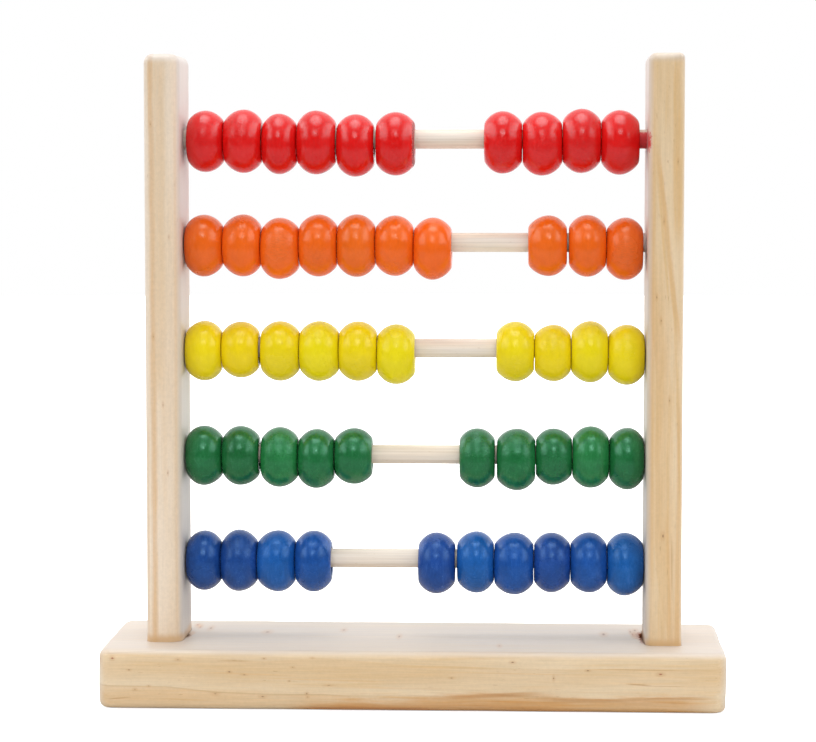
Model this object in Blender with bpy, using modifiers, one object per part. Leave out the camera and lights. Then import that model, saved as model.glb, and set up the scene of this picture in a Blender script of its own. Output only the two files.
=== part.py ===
"""Child's counting frame: a plank base, two uprights, five dowels and fifty turned beads.

The origin is the centre of the base's underside. +Z is up, +X runs along the
dowels to the right and -Y is the front. All lengths are metres.
"""

import math
import random
from collections import namedtuple

import bmesh
import bpy
from mathutils import Matrix, Vector

NAME = "abacus"
SIDES = (("left", -1), ("right", 1))  # word, sign of x
ROUND_SEGMENTS = 3  # in every rounded edge of the base, uprights and mortises

# Plank base.
BASE_LENGTH = 0.2000
BASE_DEPTH = 0.0600
BASE_HEIGHT = 0.0190
BASE_CORNER = 0.0040  # radius of the upright corner edges
BASE_EDGE = 0.0022  # radius of the edges round the top and the underside
BLOCK_SMOOTH_ANGLE = 30  # degrees, for the base and the uprights

# Uprights, glued into blind mortises in the base.
POST_SPAN = 0.1728  # over the two outer faces
POST_WIDTH = 0.0116
POST_DEPTH = 0.0300
POST_RISE = 0.1895  # above the top of the base
POST_EDGE = 0.0028  # radius of the upright edges
POST_CROWN = 0.0034  # radius round the top
POST_FOOT = 0.2 * POST_CROWN  # radius round the bottom
MORTISE_DEPTH = 0.0120
MORTISE_GAP = 0.00025  # glue line, on each side
POST_FOOT_GAP = 0.0003  # between the upright's bottom and the mortise's floor
MORTISE_OVERSHOOT = 0.010  # how far the mortise cutter stands above the base

POST_X = (POST_SPAN - POST_WIDTH) / 2
INNER_X = POST_SPAN / 2 - POST_WIDTH  # the uprights' inner faces
MORTISE_FLOOR = BASE_HEIGHT - MORTISE_DEPTH

# Dowels, glued into blind sockets in the uprights.
ROD_RADIUS = 0.0031
ROD_SIDES = 24
ROD_CHAMFER = 0.0005
ROD_CHAMFER_ANGLE = 60  # degrees; only the end edges are sharper than this
ROD_SMOOTH_ANGLE = 40  # degrees
ROD_END_GAP = 0.0004  # between the dowel's end and the socket's floor
SOCKET_DEPTH = 0.0080
SOCKET_GAP = 0.00025  # glue line all round
SOCKET_OVERSHOOT = 0.004  # how far the cutter stands out of the inner face

# Beads. Turned in a few widths and diameters, so a row of ten isn't even, and drilled
# a little off centre, so each hangs its own way under its dowel.
WIDTHS = {"t": 0.0111, "n": 0.0116, "m": 0.0121, "w": 0.0126}  # thin to wide
DIAMETERS = {"s": 0.0184, "m": 0.0195, "l": 0.0201, "x": 0.0207}  # small to extra large
DROPS = {"a": 0.0006, "b": 0.00105, "c": 0.0015, "d": 0.0020}  # bead's centre under dowel's
FLAT_RATIO = 0.63  # the flat side face, against the bead's diameter
BORE_RADIUS = 0.0042
BORE_DROP = 0.0009  # every bore hangs this far under its dowel's centre
DRILL_OVERSHOOT = 0.010  # how far the drill reaches past each upright's inner face
TOUCH_GAP = 0.0003  # between neighbours that rest against each other
BEAD_STEPS = 20  # round the bead and its bore
ARC_STEPS = 6  # across the bead's outside
BEAD_MERGE = 0.00001  # joins the turned profile's ends at the axis

# The dowels, top to bottom. Height is above the base's top. Left and right are the beads
# pushed to each side, from left to right, each as its keys in WIDTHS, DIAMETERS and DROPS.
# The slacks lie between the outermost beads and the uprights.
Row = namedtuple("Row", "colour height left right left_slack right_slack")
ROWS = (
    Row("red", 0.1624, "nla mxa tmc wxb mld wxc", "mlb wxc mxa mxb", 0.0012, 0.0024),
    Row("orange", 0.12905, "mlb mlb mld mlb mlb mmb mld", "wmb mlb nld", TOUCH_GAP, 0.0010),
    Row("yellow", 0.0947, "nmb msa wmb wmb mmb mmd", "mmb nsc nlb nmd", TOUCH_GAP, TOUCH_GAP),
    Row("green", 0.05995, "nma mma mmb nmc msa", "nmb wlc nsa nla tlb", TOUCH_GAP, TOUCH_GAP),
    Row("blue", 0.02575, "tmb nlb mlb nlb", "mlc mlb wlc nmb nmb nxc", TOUCH_GAP, TOUCH_GAP),
)

# Colour, roughness.
PINE = ((0.74, 0.57, 0.38), 0.62)
BIRCH = ((0.82, 0.70, 0.56), 0.58)
PAINT = {
    "red": ((0.68, 0.012, 0.016), 0.34),
    "orange": ((0.80, 0.13, 0.018), 0.36),
    "yellow": ((0.83, 0.66, 0.008), 0.34),
    "green": ((0.007, 0.15, 0.052), 0.38),
    "blue": ((0.010, 0.070, 0.31), 0.38),
}
SHADE_SEED = 50
SHADE_SPREAD = 0.06  # how far each channel of a bead's paint may stray, as a fraction


# Scene, objects and materials.


def clear_scene():
    for obj in list(bpy.data.objects):
        bpy.data.objects.remove(obj, do_unlink=True)


def new_collection(name, hidden=False):
    collection = bpy.data.collections.new(name)
    collection.hide_render = hidden
    bpy.context.scene.collection.children.link(collection)
    return collection


def new_object(name, bm, collection, location=(0, 0, 0), parent=None):
    mesh = bpy.data.meshes.new(name)
    bm.to_mesh(mesh)
    bm.free()
    obj = bpy.data.objects.new(name, mesh)
    collection.objects.link(obj)
    obj.location = location
    obj.parent = parent
    return obj


def new_cutter(name, bm, collection, location=(0, 0, 0), parent=None):
    obj = new_object(name, bm, collection, location, parent)
    obj.hide_render = True
    obj.display_type = "WIRE"
    return obj


def new_empty(name, location, collection, parent=None):
    empty = bpy.data.objects.new(name, None)
    empty.empty_display_size = 0.01
    empty.location = location
    empty.parent = parent
    collection.objects.link(empty)
    return empty


def add_material(obj, name, colour, roughness):
    material = bpy.data.materials.new(name)
    material.use_nodes = True
    shader = material.node_tree.nodes["Principled BSDF"]
    shader.inputs["Base Color"].default_value = (*colour, 1.0)
    shader.inputs["Roughness"].default_value = roughness
    shader.inputs["Metallic"].default_value = 0.0
    material.diffuse_color = (*colour, 1.0)
    obj.data.materials.append(material)


def smooth(obj, degrees):
    obj.data.shade_smooth()
    obj.data.set_sharp_from_angle(angle=math.radians(degrees))


def cut(obj, cutter, name):
    boolean = obj.modifiers.new(name, "BOOLEAN")
    boolean.operation = "DIFFERENCE"
    boolean.solver = "EXACT"
    boolean.object = cutter


# Shapes.


def block(size):
    bm = bmesh.new()
    bmesh.ops.create_cube(bm, size=1.0)
    bmesh.ops.scale(bm, vec=Vector(size), verts=bm.verts)
    return bm


def is_upright(edge):
    start, end = edge.verts
    return abs(end.co.z - start.co.z) > 1e-4


def rounded_block(name, size, location, collection, parent, *, upright, top, bottom):
    """A block centred on location. upright, top and bottom are the radii of its edges."""
    largest = max(upright, top, bottom)
    bm = block(size)
    layer = bm.edges.layers.float.new("bevel_weight_edge")
    for edge in bm.edges:
        if is_upright(edge):
            radius = upright
        else:
            radius = top if edge.verts[0].co.z > 0 else bottom
        edge[layer] = radius / largest
    obj = new_object(name, bm, collection, location, parent)
    bevel = obj.modifiers.new("round_edges", "BEVEL")
    bevel.width = largest
    bevel.segments = ROUND_SEGMENTS
    bevel.limit_method = "WEIGHT"
    return obj


def add_cylinder(bm, radius, length, sides, centre=(0, 0, 0)):
    """A closed cylinder along X."""
    bmesh.ops.create_cone(
        bm,
        cap_ends=True,
        segments=sides,
        radius1=radius,
        radius2=radius,
        depth=length,
        matrix=Matrix.Translation(centre) @ Matrix.Rotation(math.pi / 2, 4, "Y"),
    )


# Base and uprights.


def mortise_cutter(name, x, collection):
    """The upright's section with a glue gap all round, from the mortise's floor up."""
    high = BASE_HEIGHT + MORTISE_OVERSHOOT
    bm = block((
        POST_WIDTH + 2 * MORTISE_GAP,
        POST_DEPTH + 2 * MORTISE_GAP,
        high - MORTISE_FLOOR,
    ))
    bmesh.ops.bevel(
        bm,
        geom=[edge for edge in bm.edges if is_upright(edge)],
        offset=POST_EDGE + MORTISE_GAP,
        segments=ROUND_SEGMENTS,
        profile=0.5,
        affect="EDGES",
    )
    return new_cutter(name, bm, collection, (x, 0, (MORTISE_FLOOR + high) / 2))


def make_base(parts, cutters, root):
    base = rounded_block(
        "base",
        (BASE_LENGTH, BASE_DEPTH, BASE_HEIGHT),
        (0, 0, BASE_HEIGHT / 2),
        parts,
        root,
        upright=BASE_CORNER,
        top=BASE_EDGE,
        bottom=BASE_EDGE,
    )
    for word, side in SIDES:
        mortise = mortise_cutter(f"{word}_mortise", side * POST_X, cutters)
        cut(base, mortise, f"cut_{word}_mortise")
    smooth(base, BLOCK_SMOOTH_ANGLE)
    add_material(base, "base_pine", *PINE)


def socket_cutter(name, side, collection):
    """One cylinder for each dowel, entering an upright from its inner face."""
    start = INNER_X - SOCKET_OVERSHOOT
    end = INNER_X + SOCKET_DEPTH
    bm = bmesh.new()
    for row in ROWS:
        centre = (side * (start + end) / 2, 0, BASE_HEIGHT + row.height)
        add_cylinder(bm, ROD_RADIUS + SOCKET_GAP, end - start, ROD_SIDES, centre)
    return new_cutter(name, bm, collection)


def make_post(word, side, parts, cutters, root):
    low = MORTISE_FLOOR + POST_FOOT_GAP
    high = BASE_HEIGHT + POST_RISE
    post = rounded_block(
        f"{word}_post",
        (POST_WIDTH, POST_DEPTH, high - low),
        (side * POST_X, 0, (low + high) / 2),
        parts,
        root,
        upright=POST_EDGE,
        top=POST_CROWN,
        bottom=POST_FOOT,
    )
    sockets = socket_cutter(f"{word}_sockets", side, cutters)
    cut(post, sockets, f"cut_{word}_sockets")
    smooth(post, BLOCK_SMOOTH_ANGLE)
    add_material(post, f"{word}_post_pine", *PINE)


# Dowels and beads. Each row hangs on an empty at the dowel's centre.


def make_rod(colour, parts, parent):
    """A dowel that reaches into both uprights, with a small chamfer at each end."""
    bm = bmesh.new()
    add_cylinder(bm, ROD_RADIUS, 2 * (INNER_X + SOCKET_DEPTH - ROD_END_GAP), ROD_SIDES)
    rod = new_object(f"{colour}_rod", bm, parts, parent=parent)
    bevel = rod.modifiers.new("end_chamfer", "BEVEL")
    bevel.width = ROD_CHAMFER
    bevel.segments = 1
    bevel.limit_method = "ANGLE"
    bevel.angle_limit = math.radians(ROD_CHAMFER_ANGLE)
    smooth(rod, ROD_SMOOTH_ANGLE)
    add_material(rod, f"{colour}_rod_birch", *BIRCH)


def make_drill(colour, cutters, parent):
    """One long cutter for every bore of a row, as all its beads hang on the same dowel."""
    bm = bmesh.new()
    add_cylinder(bm, BORE_RADIUS, 2 * (INNER_X + DRILL_OVERSHOOT), BEAD_STEPS)
    return new_cutter(f"{colour}_drill", bm, cutters, (0, 0, -BORE_DROP), parent)


def bead_profile(width, diameter):
    """Half a bead's section as (radius, place along the bead), from axis to axis.

    The outside is an ellipse cut off at the two flat side faces.
    """
    radius = diameter / 2
    end_angle = math.acos(FLAT_RATIO)
    half_axis = width / 2 / math.sin(end_angle)
    angles = [end_angle * (1 - 2 * i / ARC_STEPS) for i in range(ARC_STEPS + 1)]
    outside = [(radius * math.cos(angle), half_axis * math.sin(angle)) for angle in angles]
    return [(0, width / 2), *outside, (0, -width / 2)]


def make_bead(name, code, x, paint, drill, parts, parent, shade):
    width_key, diameter_key, drop_key = code
    bm = bmesh.new()
    profile = bead_profile(WIDTHS[width_key], DIAMETERS[diameter_key])
    points = [bm.verts.new((radius, 0, z)) for radius, z in profile]
    for pair in zip(points, points[1:]):
        bm.edges.new(pair)
    bead = new_object(name, bm, parts, (x, 0, -DROPS[drop_key]), parent)
    bead.rotation_euler = (0, math.pi / 2, 0)  # lays the turning axis along the dowel

    screw = bead.modifiers.new("turned", "SCREW")
    screw.axis = "Z"
    screw.angle = 2 * math.pi
    screw.steps = BEAD_STEPS
    screw.render_steps = BEAD_STEPS
    screw.use_merge_vertices = True
    screw.merge_threshold = BEAD_MERGE
    screw.use_smooth_shade = True
    cut(bead, drill, "bore")

    colour, roughness = paint
    tone = [channel * (1 + shade.uniform(-SHADE_SPREAD, SHADE_SPREAD)) for channel in colour]
    add_material(bead, name + "_paint", tone, roughness)


def line_up(codes, start):
    """Each bead's code and centre, for beads that touch, with the first one's side at start."""
    places = []
    for code in codes:
        width = WIDTHS[code[0]]
        places.append((code, start + width / 2))
        start += width + TOUCH_GAP
    return places


def bead_places(row):
    """The left group stands near the left upright, the right group near the right one."""
    left, right = row.left.split(), row.right.split()
    right_length = sum(WIDTHS[code[0]] for code in right) + TOUCH_GAP * (len(right) - 1)
    right_start = INNER_X - row.right_slack - right_length
    return line_up(left, -INNER_X + row.left_slack) + line_up(right, right_start)


def make_row(row, parts, cutters, root, shade):
    colour = row.colour
    centre = new_empty(f"{colour}_row", (0, 0, BASE_HEIGHT + row.height), parts, root)
    make_rod(colour, parts, centre)
    drill = make_drill(colour, cutters, centre)
    for number, (code, x) in enumerate(bead_places(row), 1):
        name = f"{colour}_bead_{number:02d}"
        make_bead(name, code, x, PAINT[colour], drill, parts, centre, shade)


def main():
    clear_scene()
    parts = new_collection(NAME)
    cutters = new_collection(NAME + "_cutters", hidden=True)
    root = new_empty(NAME + "_origin", (0, 0, 0), parts)
    make_base(parts, cutters, root)
    for word, side in SIDES:
        make_post(word, side, parts, cutters, root)
    shade = random.Random(SHADE_SEED)
    for row in ROWS:
        make_row(row, parts, cutters, root, shade)


main()
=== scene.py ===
import math
import random

import bmesh
import bpy
import numpy as np
from mathutils import Matrix, Vector


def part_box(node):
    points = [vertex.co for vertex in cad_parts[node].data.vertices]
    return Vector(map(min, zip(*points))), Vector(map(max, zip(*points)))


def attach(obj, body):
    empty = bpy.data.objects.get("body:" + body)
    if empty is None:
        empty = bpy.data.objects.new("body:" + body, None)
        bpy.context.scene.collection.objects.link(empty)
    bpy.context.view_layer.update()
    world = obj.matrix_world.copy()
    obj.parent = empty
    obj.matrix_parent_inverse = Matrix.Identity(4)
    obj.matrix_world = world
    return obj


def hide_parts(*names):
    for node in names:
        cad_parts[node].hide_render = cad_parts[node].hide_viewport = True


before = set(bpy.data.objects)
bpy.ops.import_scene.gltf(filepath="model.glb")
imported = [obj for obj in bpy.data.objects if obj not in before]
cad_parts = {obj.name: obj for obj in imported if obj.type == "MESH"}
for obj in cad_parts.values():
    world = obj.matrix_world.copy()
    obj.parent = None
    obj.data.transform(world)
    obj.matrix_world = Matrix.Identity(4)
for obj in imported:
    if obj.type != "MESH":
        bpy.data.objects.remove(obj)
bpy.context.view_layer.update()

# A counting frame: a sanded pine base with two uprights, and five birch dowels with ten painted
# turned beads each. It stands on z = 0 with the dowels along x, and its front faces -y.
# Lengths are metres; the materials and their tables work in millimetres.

MM = 0.001
COLOURS = ("red", "orange", "yellow", "green", "blue")  # the rows


# ---------------------------------------------------------------- mesh helpers


def soft_noise(points, cell, seed, terms=9):
    """Smooth noise in about -1..1: waves in seeded directions, about cell long."""
    rng = np.random.default_rng(seed)
    points = np.asarray(points, float)
    total = np.zeros(len(points))
    for _ in range(terms):
        direction = rng.normal(size=points.shape[1])
        direction /= np.linalg.norm(direction)
        wave = 2 * math.pi / (cell * rng.uniform(0.7, 1.8))
        total += np.sin(points @ direction * wave + rng.uniform(0, 2 * math.pi))
    return total / terms * 1.6


def link_object(name, mesh):
    obj = bpy.data.objects.new(name, mesh)
    bpy.context.scene.collection.objects.link(obj)
    return obj


def object_from_bmesh(name, bm):
    mesh = bpy.data.meshes.new(name)
    bm.to_mesh(mesh)
    bm.free()
    return link_object(name, mesh)


def new_mesh_object(name, verts, faces):
    mesh = bpy.data.meshes.new(name)
    mesh.from_pydata([tuple(v) for v in verts], [], [tuple(f) for f in faces])
    mesh.validate()
    bm = bmesh.new()
    bm.from_mesh(mesh)
    bmesh.ops.recalc_face_normals(bm, faces=bm.faces)
    bm.to_mesh(mesh)
    bm.free()
    return link_object(name, mesh)


def tube_faces(rings, around):
    """The faces of a capped tube whose points come ring by ring."""
    faces = []
    for k in range(rings - 1):
        for i in range(around):
            j = (i + 1) % around
            low, high = k * around, (k + 1) * around
            faces.append((low + i, low + j, high + j, high + i))
    last = (rings - 1) * around
    faces.append(tuple(range(around - 1, -1, -1)))
    faces.append(tuple(range(last, last + around)))
    return faces


def smooth(obj, sharp_angle=None):
    obj.data.shade_smooth()
    if sharp_angle:
        obj.data.set_sharp_from_angle(angle=math.radians(sharp_angle))


def carve(obj, cutter):
    """Cuts cutter out of obj and removes cutter, leaving a plain mesh."""
    boolean = obj.modifiers.new("carve", "BOOLEAN")
    boolean.operation = "DIFFERENCE"
    boolean.solver = "EXACT"
    boolean.object = cutter
    graph = bpy.context.evaluated_depsgraph_get()
    mesh = bpy.data.meshes.new_from_object(obj.evaluated_get(graph))
    obj.modifiers.clear()
    old = obj.data
    obj.data = mesh
    mesh.name = obj.name
    bpy.data.meshes.remove(old)
    bpy.data.objects.remove(cutter, do_unlink=True)


def outline(half_x, half_y, radii, step, corner_steps):
    """A rounded rectangle, anticlockwise, as centres, outward directions and radii.

    A point is centre + radius * direction. radii is one radius, or one per corner from +x +y.
    """
    radii = [radii] * 4 if isinstance(radii, (int, float)) else radii
    signs = ((1, 1, 0), (-1, 1, 90), (-1, -1, 180), (1, -1, 270))
    corners = [(sign_x * (half_x - radius), sign_y * (half_y - radius), start, radius)
               for (sign_x, sign_y, start), radius in zip(signs, radii)]
    centres, directions, sizes = [], [], []
    for i, (x, y, start, radius) in enumerate(corners):
        for k in range(corner_steps + 1):
            angle = math.radians(start + 90 * k / corner_steps)
            centres.append((x, y))
            directions.append((math.cos(angle), math.sin(angle)))
            sizes.append(radius)
        next_x, next_y, _, next_radius = corners[(i + 1) % 4]
        angle = math.radians(start + 90)
        cos, sin = math.cos(angle), math.sin(angle)
        count = max(2, round(math.hypot(next_x - x, next_y - y) / step))
        for k in range(1, count):
            share = k / count
            size = radius + (next_radius - radius) * share
            side_x = (x + radius * cos) * (1 - share) + (next_x + next_radius * cos) * share
            side_y = (y + radius * sin) * (1 - share) + (next_y + next_radius * sin) * share
            centres.append((side_x - size * cos, side_y - size * sin))
            directions.append((cos, sin))
            sizes.append(size)
    return np.array(centres), np.array(directions), np.array(sizes)


def sanded_block(name, low, high, corner, top, bottom, seed, step=1.6 * MM, rise=3.0 * MM,
                 wander=0.22, sway=0.08 * MM, dents=()):
    """A block with rounded edges, sanded by hand: radii wander and faces aren't quite flat.

    corner, top and bottom are the radii of the upright, top and bottom edges; corner can be one
    per upright edge. step and rise are the mesh's spacing around and up the block.
    dents are (point, radius, depth) where an edge is knocked.
    """
    low, high = np.array(low), np.array(high)
    middle, half = (low + high) / 2, (high - low) / 2
    centres, directions, corner = outline(half[0], half[1], corner, step, corner_steps=7)
    count = len(centres)
    rim = np.column_stack([centres + corner[:, None] * directions, np.zeros(count)])
    top_r = top * (1 + wander * soft_noise(rim, 0.035, seed)
                   + wander * 0.45 * soft_noise(rim, 0.009, seed + 1))
    bottom_r = bottom * (1 + wander * soft_noise(rim, 0.04, seed + 2))
    top_r, bottom_r = np.minimum(top_r, corner * 0.96), np.minimum(bottom_r, corner * 0.96)
    # Rings from the bottom up, each an inset and a height.
    roll = 7
    rings = []
    for k in range(roll):
        angle = math.pi / 2 * (1 - k / roll)
        rings.append((bottom_r * (1 - math.cos(angle)),
                      -half[2] + bottom_r * (1 - math.sin(angle))))
    levels = max(2, round((high[2] - low[2]) / rise))
    for k in range(levels + 1):
        share = k / levels
        z = (1 - share) * (-half[2] + bottom_r) + share * (half[2] - top_r)
        rings.append((np.zeros(count), z))
    for k in range(1, roll + 1):
        angle = math.pi / 2 * k / roll
        rings.append((top_r * (1 - math.cos(angle)), half[2] - top_r * (1 - math.sin(angle))))
    verts = np.concatenate([
        np.column_stack([centres + (corner - inset)[:, None] * directions, z])
        for inset, z in rings])
    # The upright faces sway a little, and stay inside the block's size.
    out = np.tile(np.column_stack([directions, np.zeros(count)]), (len(rings), 1))
    verts -= out * (sway * (0.5 + 0.5 * soft_noise(verts, 0.05, seed + 3)))[:, None]
    for point, size, depth in dents:
        away = np.linalg.norm(verts + middle - np.array(point), axis=1)
        pull = -(verts / (np.linalg.norm(verts, axis=1)[:, None] + 1e-9))
        verts += pull * (depth * np.exp(-((away / size) ** 2)))[:, None]
    verts += middle
    return new_mesh_object(name, verts, tube_faces(len(rings), count))


def prism(name, points, low, high):
    """An upright prism over a plan outline, for cutting."""
    n = len(points)
    verts = [(x, y, low) for x, y in points] + [(x, y, high) for x, y in points]
    faces = [tuple(range(n - 1, -1, -1)), tuple(range(n, 2 * n))]
    faces += [(i, (i + 1) % n, n + (i + 1) % n, n + i) for i in range(n)]
    return new_mesh_object(name, verts, faces)


def give_attribute(obj, name, kind, field, values):
    layer = obj.data.attributes.new(name, kind, "POINT")
    layer.data.foreach_set(field, np.asarray(values, np.float32).ravel())


# ------------------------------------------------------------ material helpers


class Tree:
    """Makes shader nodes and links them. A value, a colour or a socket can feed any input."""

    def __init__(self, tree):
        self.tree = tree

    def link(self, value, socket):
        if isinstance(value, bpy.types.NodeSocket):
            self.tree.links.new(value, socket)
        elif value is not None:
            socket.default_value = value

    def node(self, kind, inputs=None, **settings):
        made = self.tree.nodes.new(kind)
        for key, value in settings.items():
            setattr(made, key, value)
        for key, value in (inputs or {}).items():
            self.link(value, made.inputs[key])
        return made

    def math(self, operation, a, b=None):
        return self.node("ShaderNodeMath", {0: a, 1: b}, operation=operation).outputs[0]

    def add(self, a, b):
        return self.math("ADD", a, b)

    def sub(self, a, b):
        return self.math("SUBTRACT", a, b)

    def mul(self, a, b):
        return self.math("MULTIPLY", a, b)

    def inverse(self, value):
        return self.sub(1.0, value)

    def swing(self, noise, by):
        """Noise centred on 0 and scaled."""
        return self.mul(self.sub(noise, 0.5), by)

    def weigh(self, *parts):
        """The sum of (value, weight) pairs."""
        term = self.mul(*parts[0])
        return self.add(term, self.weigh(*parts[1:])) if parts[1:] else term

    def map_range(self, value, span, to, **settings):
        inputs = dict(enumerate((value, *span, *to)))
        return self.node("ShaderNodeMapRange", inputs, **settings).outputs[0]

    def step(self, value, zero, one):
        """0 at zero, 1 at one and smooth between. Either can be the larger."""
        if zero > one:
            return self.inverse(self.step(value, one, zero))
        return self.map_range(value, (zero, one), (0.0, 1.0), interpolation_type="SMOOTHSTEP")

    def remap(self, value, to, span=(0.3, 0.7)):
        """Straight from span to to. Most noise lies in the default span."""
        return self.map_range(value, span, to, clamp=True)

    def band(self, value, start, end, fade):
        """1 between start and end."""
        return self.mul(self.step(value, start - fade, start + fade),
                        self.step(value, end + fade, end - fade))

    def split(self, vector):
        return self.node("ShaderNodeSeparateXYZ", {0: vector}).outputs

    def join(self, x, y, z):
        return self.node("ShaderNodeCombineXYZ", {0: x, 1: y, 2: z}).outputs[0]

    def vector_math(self, operation, a, b):
        return self.node("ShaderNodeVectorMath", {0: a, 1: b}, operation=operation).outputs[0]

    def length(self, vector):
        made = self.node("ShaderNodeVectorMath", {0: vector}, operation="LENGTH")
        return made.outputs["Value"]

    def place(self):
        return self.node("ShaderNodeTexCoord").outputs["Object"]

    def place_mm(self):
        return self.vector_math("MULTIPLY", self.place(), (1000, 1000, 1000))

    def noise(self, vector, stretch, detail=2.0, rough=0.5, shift=(0, 0, 0), distort=0.0):
        """Noise of cell size 1/stretch along each axis, in 0..1."""
        place = self.vector_math("MULTIPLY", vector, stretch)
        place = self.vector_math("ADD", place, shift)
        made = self.node("ShaderNodeTexNoise", {
            "Vector": place, "Scale": 1.0, "Detail": detail, "Roughness": rough,
            "Distortion": distort})
        return made.outputs["Fac"]

    def mix(self, mask, under, over, share=None, how="MIX"):
        """over laid on under where mask is 1, at strength share."""
        if share is not None:
            mask = self.mul(mask, share)
        made = self.node("ShaderNodeMix", data_type="RGBA", blend_type=how)
        self.link(mask, made.inputs[0])
        for value, socket in ((under, made.inputs[6]), (over, made.inputs[7])):
            if isinstance(value, tuple) and len(value) == 3:
                value = (*value, 1.0)
            self.link(value, socket)
        return made.outputs[2]

    def grey(self, level):
        return self.node("ShaderNodeCombineColor", {0: level, 1: level, 2: level}).outputs[0]

    def dim(self, colour, by):
        """colour times a number."""
        return self.mix(1.0, colour, self.grey(by), how="MULTIPLY")

    def bump(self, height, distance, strength=1.0, normal=None):
        return self.node("ShaderNodeBump", {
            "Height": height, "Distance": distance, "Strength": strength,
            "Normal": normal}).outputs[0]


def new_material(name):
    material = bpy.data.materials.new(name)
    material.use_nodes = True
    return material, Tree(material.node_tree), material.node_tree.nodes["Principled BSDF"]


def srgb(*screen):
    """Linear colour for 0..255 screen values."""
    shares = (v / 255 for v in screen)
    return tuple(v / 12.92 if v <= 0.04045 else ((v + 0.055) / 1.055) ** 2.4 for v in shares)


def times(colour, factors):
    return tuple(c * f for c, f in zip(colour, factors))


# ----------------------------------------------------------------- pine timber


def add_low_bands(t, colour, run, across, edge, texture, bands):
    """Colours everything under a bent level line, and darkens the line itself."""
    for points, softness, start, end, tone, share, edge_share in bands:
        level = points[0][1]
        for (run_0, level_0), (run_1, level_1) in zip(points, points[1:]):
            level = t.add(t.remap(run, to=(0.0, level_1 - level_0), span=(run_0, run_1)), level)
        height = t.sub(t.add(across, t.mul(edge, softness * 0.8)), level)
        mask = t.step(height, zero=softness, one=-softness)
        ends = t.band(run, start, end, fade=9)
        colour = t.mix(t.mul(t.mul(mask, ends), texture), colour, tone, share=share)
        if edge_share:
            off = t.math("ABSOLUTE", t.add(height, 0.12))
            line = t.inverse(t.step(off, zero=0.05, one=0.40))
            colour = t.mix(t.mul(line, ends), colour, t.dim(tone, by=0.72), share=edge_share)
    return colour


def add_streaks(t, colour, run, axis, wobble, edge, fibre, streaks):
    for start, place, end, last, half, tone, share in streaks:
        centre = t.remap(run, to=(place, last), span=(start, end))
        stray = t.mul(t.weigh((wobble, 0.22), (edge, 0.4)), min(1.0, half))
        off = t.math("ABSOLUTE", t.add(t.sub(axis, centre), stray))
        mask = t.inverse(t.step(off, zero=half * 0.25, one=half * 1.25))
        ends = t.band(run, start, end, fade=min(8.0, (end - start) * 0.3))
        broken = t.remap(fibre, to=(0.60, 1.0), span=(0.32, 0.66))
        colour = t.mix(t.mul(t.mul(mask, ends), broken), colour, tone, share=share)
    return colour


def add_specks(t, colour, grain, fibre, hair, specks):
    # Specks of one colour share one distance, and a weaker one starts further off.
    for tone in dict.fromkeys(speck[5] for speck in specks):
        nearest = 9.0
        for *place, length, width, own, share in specks:
            if own == tone:
                scale = (1 / length, 1 / (width * 3), 1 / width)
                origin = tuple(-v * k for v, k in zip(place, scale))
                apart = t.node("ShaderNodeVectorMath", {0: grain, 1: scale, 2: origin},
                               operation="MULTIPLY_ADD")
                far = t.length(apart.outputs["Vector"])
                nearest = t.math("MINIMUM", nearest, t.add(far, (1 - share) * 0.55))
        ragged = t.add(nearest, t.add(t.swing(fibre, by=1.6), t.swing(hair, by=1.2)))
        core = t.inverse(t.step(ragged, zero=0.25, one=1.0))
        halo = t.inverse(t.step(ragged, zero=0.8, one=3.0))
        colour = t.mix(halo, colour, srgb(192, 140, 86), share=0.30)
        colour = t.mix(core, colour, tone, share=0.85)
    return colour


def add_stains(t, colour, xyz, grain, stains):
    for point, radii, tone, share in stains:
        away = t.vector_math("ADD", t.join(*xyz), tuple(-v for v in point))
        far = t.length(t.vector_math("MULTIPLY", away, tuple(1 / r for r in radii)))
        patchy = t.noise(grain, stretch=(0.7, 0.9, 0.9), detail=4.0, rough=0.7)
        ragged = t.add(far, t.swing(patchy, by=1.7))
        mask = t.inverse(t.step(ragged, zero=0.55, one=0.95))
        colour = t.mix(mask, colour, tone, share=share)
    return colour


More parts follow.
